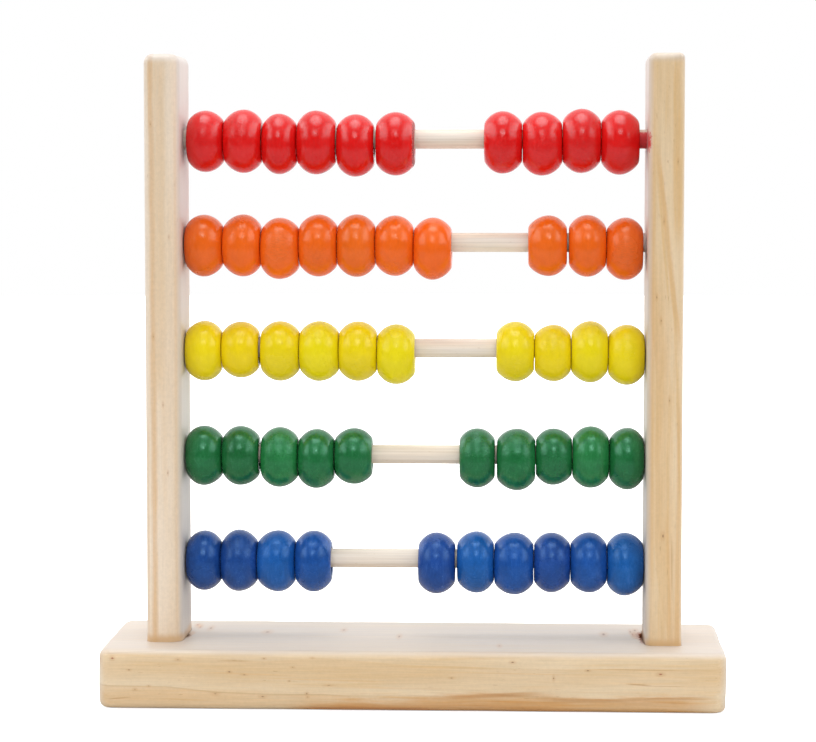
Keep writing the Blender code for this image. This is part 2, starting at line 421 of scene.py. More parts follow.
def pine(name, along, pith, spacing, pale, tan, seed, ring_strength=0.5, slope=0.0,
         low_bands=(), streaks=(), depth_streaks=(), specks=(), stains=(), sheen_and_shade=(), foot_bounce_shade=None,
         gild=0.60, comb=1.0):
    """Sanded pine. Lengths are mm.

    along is the grain's axis, x or z. run is the place along it, depth is y, and across is the
    other axis of the front face.
    pith: (depth, across) of the tree's centre line; growth rings lie about it, spacing apart.
    slope: how fast the rings grow along the run.
    low_bands: (((run, across), ...) of the level, softness, from, to, colour, share, edge share).
    streaks: (run, across, run, across, half width, colour, share), from one spot to another.
    depth_streaks: the same, with depth for across.
    specks: (run, depth, across, length, width, colour, share), a small mark.
    stains: ((x, y, z), radii, colour, share), a ragged patch.
    sheen_and_shade: (axis, side, level, softness, colour, share), the colour greyed and dimmed
    past a level, painted sheen and shade on the faces there; side 1 is above it.
    foot_bounce_shade: (level, colour, share), the colour darker and warmer under a run: painted
    shade with warm bounce light where the post meets the base.
    gild: how golden the long streaks are. comb: how strongly fibres show against the chatter.
    """
    material, t, shader = new_material(name)
    x, y, z = t.split(t.place_mm())
    run, across = {"x": (x, z), "z": (z, x)}[along]
    depth = y
    p = t.join(run, depth, across)
    s1, s2, s3 = shift = (seed * 7.31, seed * 3.17, seed * 5.93)

    # Growth rings, bent by slow noise: pale wood darkens to late wood and turns back sharply.
    bend_depth = t.swing(t.noise(p, stretch=(0.011, 0.035, 0.035), shift=shift), by=9.0)
    bend_across = t.swing(t.noise(p, stretch=(0.013, 0.04, 0.04), shift=(s2, s3, s1)), by=9.0)
    off_depth = t.add(t.add(depth, -pith[0]), bend_depth)
    off_across = t.add(t.add(across, -pith[1]), bend_across)
    squares = t.add(t.mul(off_depth, off_depth), t.mul(off_across, off_across))
    radius = t.add(t.math("SQRT", squares), t.mul(run, slope))
    uneven = t.noise(t.join(radius, 0.0, 0.0), stretch=(0.21, 1, 1), detail=1.0, shift=shift)
    phase = t.weigh((radius, 1.0 / spacing), (uneven, 1.2))
    ring = t.math("FRACT", phase)
    late = t.mul(t.step(ring, zero=0.34, one=0.95), t.step(ring, zero=1.0, one=0.93))
    # No two rings are equally dark.
    each = t.node("ShaderNodeTexWhiteNoise", {"W": t.math("FLOOR", phase)},
                  noise_dimensions="1D").outputs["Value"]
    late = t.mul(late, t.remap(each, to=(0.35, 1.0), span=(0, 1)))
    patches = t.noise(p, stretch=(0.02, 0.08, 0.08), shift=(9, 4, 2))
    late = t.mul(late, t.remap(patches, to=(0.5, 1.0)))

    # Slow tone, long streaks, fine fibres, hair lines and the plane's chatter.
    slow = t.noise(p, stretch=(0.010, 0.10, 0.10), detail=3.0, rough=0.55, shift=(s3, 1, s1))
    long = t.noise(p, stretch=(0.022, 0.55, 0.55), detail=3.0, rough=0.62, shift=(s2, 4, s3),
                   distort=0.1)
    fibre = t.noise(p, stretch=(0.060, 2.2, 2.2), detail=4.0, rough=0.68, shift=shift,
                    distort=0.15)
    hair = t.noise(p, stretch=(0.16, 6.0, 6.0), rough=0.6, shift=(5, s1, 2))
    chatter = t.noise(p, stretch=(0.85, 0.95, 0.95), rough=0.6, shift=(s1, 2, 9), distort=0.4)
    colour = t.mix(t.step(slow, zero=0.36, one=0.66), pale, tan)
    gold = times(tan, (0.985, 0.93, 0.80))
    colour = t.mix(t.step(long, zero=0.46, one=0.70), colour, gold, share=gild)
    colour = t.mix(late, colour, times(tan, (0.92, 0.80, 0.62)), share=ring_strength)

    wobble = t.swing(t.noise(p, stretch=(0.018, 0.0, 0.0), shift=(3, seed, 8)), by=5.0)
    edge = t.swing(t.noise(p, stretch=(0.07, 0.6, 0.6), detail=4.0, rough=0.65,
                           shift=(1, 6, seed)), by=3.0)
    if low_bands:
        texture = t.mul(t.remap(fibre, to=(0.66, 1.0), span=(0.32, 0.66)),
                        t.remap(long, to=(0.62, 1.0), span=(0.34, 0.62)))
        colour = add_low_bands(t, colour, run, across, edge, texture, low_bands)
    for axis, rows in ((across, streaks), (depth, depth_streaks)):
        colour = add_streaks(t, colour, run, axis, wobble, edge, fibre, rows)

    fibre_tone = (1 - 0.075 * comb, 1 + 0.05 * comb)
    colour = t.dim(colour, t.remap(fibre, to=fibre_tone, span=(0.28, 0.72)))
    colour = t.dim(colour, t.remap(hair, to=(0.975, 1.02)))
    colour = t.dim(colour, t.remap(chatter, to=(1 - 0.025 / comb, 1 + 0.022 / comb)))

    # Resin ducts: short fine dashes, thinly scattered.
    duct = t.noise(p, stretch=(0.30, 2.6, 2.6), detail=1.0, rough=0.4, shift=(s2, 11, 3))
    where = t.noise(p, stretch=(0.03, 0.12, 0.12), detail=1.0, shift=(2, 2, s3))
    duct = t.mul(t.step(duct, zero=0.70, one=0.78), t.step(where, zero=0.46, one=0.62))
    colour = t.mix(duct, colour, srgb(160, 108, 62), share=0.40)

    # Painted sheen and shade: past a level the colour is greyed and dimmed along the long lines
    # and fibres.
    for axis, side, level, softness, tone, share in sheen_and_shade:
        past = t.step({"across": across, "run": run}[axis],
                      zero=level - side * softness, one=level + side * softness)
        lines = t.weigh((long, 0.6), (fibre, 0.4))
        grey = t.mul(past, t.remap(lines, to=(0.66, 1.0), span=(0.36, 0.64)))
        colour = t.mix(grey, colour, tone, share=share)
    # Painted shade with warm bounce light low on the post, just above the base.
    if foot_bounce_shade:
        level, tone, share = foot_bounce_shade
        low = t.step(t.add(run, t.mul(edge, 0.5)), zero=level + 1.6, one=level - 0.9)
        colour = t.mix(low, colour, tone, share=share)
    colour = add_specks(t, colour, p, fibre, hair, specks)
    colour = add_stains(t, colour, (x, y, z), p, stains)

    t.link(colour, shader.inputs["Base Color"])
    rough = t.add(t.remap(fibre, to=(0.34, 0.46), span=(0.25, 0.75)), t.mul(late, -0.05))
    t.link(rough, shader.inputs["Roughness"])
    relief = t.weigh((fibre, 0.75), (hair, 0.25), (late, 0.55))
    swell = t.noise(p, stretch=(0.05, 0.22, 0.22), shift=(4, 4, seed))
    swell = t.bump(swell, distance=0.00028, strength=0.6)
    relief = t.add(relief, t.mul(chatter, 0.5))
    t.link(t.bump(relief, distance=0.00006, strength=0.8, normal=swell), shader.inputs["Normal"])
    shader.inputs["IOR"].default_value = 1.5
    shader.inputs["Specular IOR Level"].default_value = 0.55
    shader.inputs["Sheen Weight"].default_value = 0.10
    shader.inputs["Sheen Roughness"].default_value = 0.45
    return material


# ---------------------------------------------------------------- birch dowels

BIRCH_PALE, BIRCH_WARM = (0.90, 0.81, 0.71), (0.85, 0.73, 0.59)
BIRCH_DARK = (0.70, 0.55, 0.385)
# Near a dowel's right end, from x and up to z (mm), a colour: red paint rubbed on the red dowel,
# and on the orange dowel a pale pink patch, painted light that lifts the shade between its last
# bead and the post.
DOWEL_SMEARS_AND_LIGHT = {
    "red": (70.6, 183.6, (0.76, 0.008, 0.020)),
    "orange": (71.2, 400.0, (0.98, 0.83, 0.78)),
}


def birch(name, seed, smear_and_light=None):
    """A birch dowel: straight fine lines along x."""
    material, t, shader = new_material(name)
    p = t.place_mm()
    slow = t.noise(p, stretch=(0.016, 0.30, 0.30), shift=(seed * 3.7, seed, 1))
    line = t.noise(p, stretch=(0.018, 2.1, 2.1), detail=3.0, rough=0.6,
                   shift=(seed, seed * 2.3, 4), distort=0.1)
    hair = t.noise(p, stretch=(0.10, 6.0, 6.0), rough=0.55, shift=(3, seed, seed * 1.9))
    colour = t.mix(t.step(slow, zero=0.35, one=0.68), BIRCH_PALE, BIRCH_WARM)
    colour = t.dim(colour, t.remap(line, to=(0.85, 1.06)))
    dark = t.noise(p, stretch=(0.010, 2.6, 2.6), rough=0.55, shift=(seed * 1.3, 5, seed))
    colour = t.mix(t.step(dark, zero=0.56, one=0.70), colour, BIRCH_DARK, share=0.42)
    colour = t.dim(colour, t.remap(hair, to=(0.96, 1.03)))
    fleck = t.noise(p, stretch=(0.5, 3.5, 3.5), detail=1.0, rough=0.4, shift=(seed, 8, 2))
    colour = t.mix(t.step(fleck, zero=0.72, one=0.80), colour, srgb(188, 152, 112), share=0.35)
    # Near the right end: red paint on the red dowel, and painted light on the orange one, a pale
    # patch lifting its shade.
    if smear_and_light:
        start, top, tone = smear_and_light
        x, _, z = t.split(p)
        patchy = t.sub(t.noise(p, stretch=(0.6, 0.9, 0.9), detail=3.0, rough=0.6), 0.5)
        ragged = t.add(x, t.mul(patchy, 2.4))
        under = t.add(z, t.mul(patchy, 2.6))
        smear_and_light_mask = t.mul(t.step(ragged, zero=start - 0.6, one=start + 0.6),
                    t.step(under, zero=top + 0.4, one=top - 0.5))
        colour = t.mix(smear_and_light_mask, colour, tone, share=0.95)
    t.link(colour, shader.inputs["Base Color"])
    t.link(t.remap(line, to=(0.48, 0.62)), shader.inputs["Roughness"])
    relief = t.add(line, t.mul(hair, 0.4))
    t.link(t.bump(relief, distance=0.00006, strength=0.8), shader.inputs["Normal"])
    return material


# ---------------------------------------------------------------- bead paint


def paint(name, gloss_rough, shine, gleam, mottle, pore, chip_colour):
    """Paint on turned wood. Each bead holds its own colour and grain in attributes.

    tint: the bead's colour. wood: its place in the blank, in mm, x along the dowel and y along
    the grain. marks: red is end grain, green is rubbed paint, blue is painted shade in the hole.
    """
    material, t, shader = new_material(name)

    def attribute(label, output):
        return t.node("ShaderNodeAttribute", attribute_name=label).outputs[output]

    tint = attribute("tint", "Color")
    wood = attribute("wood", "Vector")
    end, rub, bore_shade = t.node("ShaderNodeSeparateColor", {0: attribute("marks", "Color")}).outputs

    cloud = t.noise(wood, stretch=(0.22, 0.16, 0.22), detail=3.0, rough=0.55)
    grain = t.noise(wood, stretch=(1.5, 0.22, 1.5), detail=3.0, rough=0.6, shift=(4, 7, 1),
                    distort=0.2)
    fine = t.noise(wood, stretch=(4.5, 3.2, 4.5), rough=0.6, shift=(2, 9, 5))
    speck = t.noise(wood, stretch=(2.6, 1.6, 2.6), detail=1.0, rough=0.4, shift=(8, 1, 3))

    level = t.add(t.remap(cloud, to=(1 - mottle, 1 + mottle)),
                  t.remap(grain, to=(-mottle * 0.7, mottle * 0.7)))
    level = t.add(level, t.remap(fine, to=(-mottle * 0.55, mottle * 0.55)))
    colour = t.dim(tint, level)
    # Where the paint is thin, the pale wood lifts it.
    thin = t.step(t.weigh((grain, 0.6), (cloud, 0.4)), zero=0.52, one=0.70)
    lifted = t.mix(0.35, tint, chip_colour)
    colour = t.mix(thin, colour, lifted, share=pore * 0.5)
    # Pores and dust under the paint.
    pores = t.mul(t.step(speck, zero=0.66, one=0.76), pore)
    colour = t.mix(pores, colour, t.dim(tint, by=0.55), share=0.55)
    dust = t.noise(wood, stretch=(3.6, 2.8, 3.6), detail=1.0, rough=0.4, shift=(5, 5, 1))
    colour = t.mix(t.step(dust, zero=0.67, one=0.76), colour, lifted, share=pore)
    # End grain soaks up paint: dotted, a little darker, and duller.
    dots = t.noise(wood, stretch=(0.7, 1.0, 3.2), shift=(6, 2, 7))
    dots = t.step(dots, zero=0.44, one=0.62)
    soaked = t.remap(dots, to=(0.10, 0.42), span=(0, 1))
    colour = t.mix(end, colour, t.dim(tint, by=0.70), share=soaked)
    # Chips at the rims.
    rag = t.noise(wood, stretch=(1.3, 1.1, 1.3), detail=4.0, rough=0.65, shift=(1, 1, 9))
    bare = t.step(t.weigh((rub, 0.50), (rag, 0.75)), zero=0.74, one=0.80)
    colour = t.mix(bare, colour, chip_colour, share=0.70)
    crumb = t.noise(wood, stretch=(2.4, 2.0, 2.4), detail=3.0, rough=0.6, shift=(3, 8, 4))
    crumb = t.step(t.weigh((rub, 0.34), (crumb, 0.75)), zero=0.62, one=0.69)
    colour = t.mix(crumb, colour, t.dim(tint, by=0.30), share=0.8)
    # Painted shade in the hole: the colour darkened round the bore.
    colour = t.mix(bore_shade, colour, t.dim(tint, by=0.35), share=0.55)

    t.link(colour, shader.inputs["Base Color"])
    rough = t.remap(cloud, to=(gloss_rough - 0.04, gloss_rough + 0.05))
    rough = t.add(rough, t.mul(end, 0.16))
    rough = t.add(rough, t.weigh((bare, 0.3), (pores, 0.12)))
    t.link(rough, shader.inputs["Roughness"])
    waves = t.noise(wood, stretch=(0.45, 0.32, 0.45), shift=(7, 3, 3))
    waves = t.bump(waves, distance=0.00022, strength=0.55)
    peel = t.weigh((grain, 0.6), (fine, 0.4))
    peel = t.bump(peel, distance=0.00007, strength=0.7, normal=waves)
    nibs = t.noise(wood, stretch=(2.1, 2.1, 2.1), detail=0.0, shift=(9, 5, 9))
    nibs = t.step(nibs, zero=0.74, one=0.80)
    sunk = t.weigh((pores, -0.6), (bare, -1.0), (t.mul(end, dots), -0.6))
    relief = t.add(t.add(sunk, t.mul(nibs, 0.8)), t.mul(crumb, -0.8))
    t.link(t.bump(relief, distance=0.00007, strength=0.9, normal=peel), shader.inputs["Normal"])
    shader.inputs["Specular IOR Level"].default_value = shine
    shader.inputs["Specular Tint"].default_value = (*gleam, 1.0)
    return material


# ----------------------------------------------------------------------- beads

BEAD_AROUND = 72
FLAT_SHARE = 0.632  # a flat face's radius over the bead's
BORE_DROP = 0.9 * MM  # how far the hole sits below the dowel's centre


def bead_profile(width, radius, flat, bore):
    """A bead's closed section as (x, r).

    It runs over the crown from left to right, in across the right face, back through the bore
    and out across the left face.
    """
    end = math.acos(flat / radius)
    along = width / 2 / math.sin(end)
    crown = 30
    trim = 0.10
    face = width / 2
    round_out, round_in = 0.6 * MM, 0.5 * MM
    points = []
    for k in range(crown + 1):
        angle = (end - trim) * (2 * k / crown - 1)
        points.append((along * math.sin(angle), radius * math.cos(angle)))

    def turn(corner, finish, steps):
        """Rounds a corner from the last point to finish."""
        start = points[-1]
        for k in range(1, steps + 1):
            u = k / steps
            points.append(tuple((1 - u) ** 2 * s + 2 * u * (1 - u) * c + u * u * f
                                for s, c, f in zip(start, corner, finish)))

    turn((face, flat), (face, flat - round_out), 5)
    points.append((face, (flat + bore) / 2))
    points.append((face, bore + round_in))
    turn((face, bore), (face - round_out, bore), 4)
    for k in range(1, 4):
        points.append((face + (-width + 2 * round_out) * k / 4 - round_out, bore))
    points.append((-face + round_out, bore))
    turn((-face, bore), (-face, bore + round_in), 4)
    points.append((-face, (flat + bore) / 2))
    points.append((-face, flat - round_out))
    turn((-face, flat), points[0], 5)
    points.pop()  # the section's first point again
    return np.array(points)


def make_bead(name, node, tint, rng, chips, grain_turn, swell, bore):
    """A turned bead over its CAD solid: not quite round, not quite square on its dowel.

    chips is how far the right rim is chipped. grain_turn is the grain's angle about the dowel,
    or None for any. swell is how far the left and right faces swell towards their neighbours,
    and bore the hole's radius and its extra drop.
    """
    low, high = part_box(node)
    rod_low, rod_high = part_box(node.split("_")[0] + "_rod")
    centre = (low + high) / 2
    drop = (rod_low.z + rod_high.z) / 2 - centre.z
    width, radius = high.x - low.x + sum(swell), (high.z - low.z) / 2
    centre.x += (swell[1] - swell[0]) / 2
    flat = radius * (FLAT_SHARE + rng.uniform(-0.015, 0.015))
    hole, extra_drop = bore
    profile = bead_profile(width, radius, flat, hole)
    n = len(profile)
    phi = np.repeat(np.arange(BEAD_AROUND) * 2 * math.pi / BEAD_AROUND, n)
    x = np.tile(profile[:, 0], BEAD_AROUND)
    r = np.tile(profile[:, 1], BEAD_AROUND)
    outer = np.clip((r - hole) / (radius - hole), 0, 1)
    # The crown leans a little to one side, and sanding leaves the bead out of round.
    lean = rng.uniform(-0.35, 0.35) * MM
    x = x + lean * (1 - (2 * x / width) ** 2) * outer
    wobble = (0.006 * np.cos(2 * (phi - rng.uniform(0, 6.28)))
              + 0.003 * np.cos(3 * (phi - rng.uniform(0, 6.28))))
    r = r * (1 + (wobble + 0.002) * outer)
    points = np.column_stack([x, r * np.cos(phi), r * np.sin(phi)])
    bumps = soft_noise(points, 0.008, rng.randrange(10**6)) * 0.00007 * outer
    radial = np.column_stack([np.zeros(len(x)), np.cos(phi), np.sin(phi)])
    points = points + radial * bumps[:, None]
    # The hole is off centre.
    rest = flat - 0.8 * MM
    points[:, 2] += (drop - BORE_DROP - extra_drop) * np.clip((rest - r) / (rest - hole), 0, 1)

    faces = []
    for i in range(BEAD_AROUND):
        j = (i + 1) % BEAD_AROUND
        for k in range(n):
            m = (k + 1) % n
            faces.append((i * n + k, i * n + m, j * n + m, j * n + k))

    # The grain runs across the dowel, so end grain shows on two opposite sides.
    turn = rng.uniform(0.15, math.pi - 0.15) if grain_turn is None else grain_turn
    along = points[:, 1] * math.cos(turn) + points[:, 2] * math.sin(turn)
    across = -points[:, 1] * math.sin(turn) + points[:, 2] * math.cos(turn)
    away = np.sqrt((across / (0.40 * radius)) ** 2 + (points[:, 0] / (0.30 * width)) ** 2)
    end = np.clip(1.5 - away, 0, 1) ** 0.7 * (np.abs(along) > 0.5 * radius)
    if grain_turn is None:
        end = end * 0.55
    rim_width = (1.3 if chips else 0.75) * MM
    rim = np.exp(-((np.hypot(r - flat, np.abs(x) - width / 2) / rim_width) ** 2))
    rim_side = rim * np.where(x > 0, 1.0, 0.25 if chips else 1.0)
    rub = 0.20 * rim + chips * rim_side + 0.25 * chips * np.clip((x / width) * 3 - 0.6, 0, 1)
    # The blue mark: painted shade, strongest in the hole.
    inside = np.clip((hole + 0.7 * MM - r) / (0.7 * MM), 0, 1)
    shift = np.array([rng.uniform(0, 400) for _ in range(3)])
    wood = np.column_stack([points[:, 0], along, across]) * 1000 + shift
    marks = np.column_stack([end, np.clip(rub, 0, 1), inside, np.ones(len(x))])

    tilt = (Matrix.Rotation(math.radians(rng.uniform(-0.35, 0.35)), 3, "Y")
            @ Matrix.Rotation(math.radians(rng.uniform(-0.3, 0.3)), 3, "Z"))
    nudge = Vector((0, rng.uniform(-0.12, 0.12) * MM, 0))
    placed = points @ np.array(tilt).T + np.array(centre + nudge)
    bead = new_mesh_object(name, placed, faces)
    give_attribute(bead, "wood", "FLOAT_VECTOR", "vector", wood)
    tints = np.tile((*tint, 1.0), (len(placed), 1))
    give_attribute(bead, "tint", "FLOAT_COLOR", "color", tints)
    give_attribute(bead, "marks", "FLOAT_COLOR", "color", marks)
    smooth(bead)
    return bead


# -------------------------------------------------------------- frame pieces

# Radii of each post's upright edges: back right, back left, front left, front right.
POST_CORNERS = {
    "left_post": (4.6 * MM, 3.0 * MM, 3.0 * MM, 4.6 * MM),
    "right_post": (2.0 * MM, 3.0 * MM, 2.9 * MM, 1.9 * MM),
}
MORTISE_GAPS = {"left_post": 0.10 * MM, "right_post": 0.16 * MM}
SOCKET_RADIUS = 3.28 * MM
SOCKET_DEPTH = 8.2 * MM
SOCKET_PROUD = 4 * MM  # how far the cutter sticks out of the post
# Knocked edges of the base: place, radius, depth.
BASE_DENTS = (
    ((-0.0985, -0.029, 0.0175), 0.0030, 0.0005), ((0.099, -0.029, 0.0015), 0.0035, 0.0006),
    ((-0.0985, -0.0295, 0.0008), 0.0030, 0.0004), ((0.032, -0.030, 0.019), 0.0040, 0.00022),
    ((0.061, -0.030, 0.019), 0.0030, 0.00020), ((-0.012, -0.030, 0.019), 0.0050, 0.00018),
)
# Ragged plans beside the mortises: mm in x from the post's inner face, mm in y from its front.
RIGHT_TEAR = (
    (3.6, -0.35), (1.7, 0.45), (0.4, 2.6), (-0.35, 3.4), (-0.15, 5.0), (-0.75, 6.4),
    (-0.35, 7.9), (-1.15, 9.2), (-1.0, 10.7), (-1.6, 12.2), (-0.8, 13.6), (-1.75, 16.0),
    (-1.0, 18.3), (-1.6, 20.6), (-0.7, 23.4), (0.6, 24.6), (0.6, 3.9), (2.2, 1.4),
)
LEFT_NICK = (
    (-0.6, 8.6), (0.25, 8.3), (0.75, 10.6), (0.55, 12.4), (0.95, 14.0), (0.3, 16.2), (-0.6, 16.0),
)


def rounded_plan(half_x, half_y, radii):
    # The step outruns any side, which leaves one point between two corners.
    centres, directions, sizes = outline(half_x, half_y, radii, step=100.0, corner_steps=6)
    return centres + sizes[:, None] * directions


def make_base():
    low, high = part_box("base")
    base = sanded_block("base_plank", low, high, corner=4.2 * MM, top=2.2 * MM, bottom=2.0 * MM,
                        seed=11, wander=0.28, dents=BASE_DENTS)
    for node, gap in MORTISE_GAPS.items():
        a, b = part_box(node)
        half_x, half_y = (b.x - a.x) / 2 + gap, (b.y - a.y) / 2 + gap
        middle = np.array([(a.x + b.x) / 2, (a.y + b.y) / 2])
        plan = rounded_plan(half_x, half_y, POST_CORNERS[node]) + middle
        carve(base, prism("mortise", plan, a.z - 0.3 * MM, high.z + 5 * MM))
    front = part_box("right_post")[0].y
    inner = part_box("right_post")[0].x
    tear = [(inner + u * MM, front + v * MM) for u, v in RIGHT_TEAR]
    carve(base, prism("tear", tear[::-1], high.z - 1.3 * MM, high.z + 2 * MM))
    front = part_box("left_post")[0].y
    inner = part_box("left_post")[1].x
    nick = [(inner + u * MM, front + v * MM) for u, v in LEFT_NICK]
    carve(base, prism("nick", nick, high.z - 2.2 * MM, high.z + 2 * MM))
    smooth(base, sharp_angle=32)
    return base


def make_post(node, name, seed, top):
    """An upright with a blind socket for each dowel in its inner face."""
    low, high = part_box(node)
    post = sanded_block(name, low, high, POST_CORNERS[node], top, bottom=0.8 * MM, seed=seed,
                        step=1.1 * MM, rise=3.5 * MM, wander=0.14, sway=0.00012)
    side = 1 if low.x > 0 else -1
    inner = low.x if side > 0 else high.x
    x = inner + side * (SOCKET_DEPTH - SOCKET_PROUD) / 2
    bm = bmesh.new()
    for colour in COLOURS:
        a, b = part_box(colour + "_rod")
        place = (Matrix.Translation((x, 0, (a.z + b.z) / 2))
                 @ Matrix.Rotation(math.pi / 2, 4, "Y"))
        bmesh.ops.create_cone(bm, cap_ends=True, segments=48, radius1=SOCKET_RADIUS,
                              radius2=SOCKET_RADIUS, depth=SOCKET_DEPTH + SOCKET_PROUD,
                              matrix=place)
    carve(post, object_from_bmesh("sockets", bm))
    smooth(post, sharp_angle=32)
    return post


def make_rod(colour, seed):
    """A dowel: near round, with a faint wander along its length and chamfered ends."""
    low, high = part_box(colour + "_rod")
    radius = (high.z - low.z) / 2
    centre_y, centre_z = (low.y + high.y) / 2, (low.z + high.z) / 2
    xs = np.array([low.x, low.x + 0.25 * MM, low.x + 0.5 * MM,
                   *np.linspace(low.x + 1.5 * MM, high.x - 1.5 * MM, 84),
                   high.x - 0.5 * MM, high.x - 0.25 * MM, high.x])
    shrink = np.ones(len(xs))
    shrink[[0, -1]] = 0.86
    shrink[[1, -2]] = 0.94
    around = 48
    grid_x, phi = np.meshgrid(xs, np.arange(around) * 2 * math.pi / around, indexing="ij")
    x, cos, sin = grid_x.ravel(), np.cos(phi).ravel(), np.sin(phi).ravel()
    true = np.column_stack([x, radius * cos, radius * sin])
    wander = 0.5 + 0.5 * soft_noise(true * (0.2, 1, 1), 0.004, seed)
    r = radius * np.repeat(shrink, around) - 0.00006 * wander
    verts = np.column_stack([x, centre_y + r * cos, centre_z + r * sin])
    rod = new_mesh_object(colour + "_dowel", verts, tube_faces(len(xs), around))
    smooth(rod, sharp_angle=40)
    return rod


def keep(piece, material, body, node):
    piece.data.materials.clear()
    piece.data.materials.append(material)
    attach(piece, body)
    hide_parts(node)


# ------------------------------------------------- timber: tables as in pine()

HONEY = (0.70, 0.445, 0.185)
ORANGE_TAN = (0.69, 0.425, 0.185)
UMBER = (0.46, 0.225, 0.075)
BROWN = srgb(122, 66, 32)
BRICK = srgb(158, 74, 44)
RUST = (0.34, 0.095, 0.035)
GREY_PINK = (0.62, 0.575, 0.555)

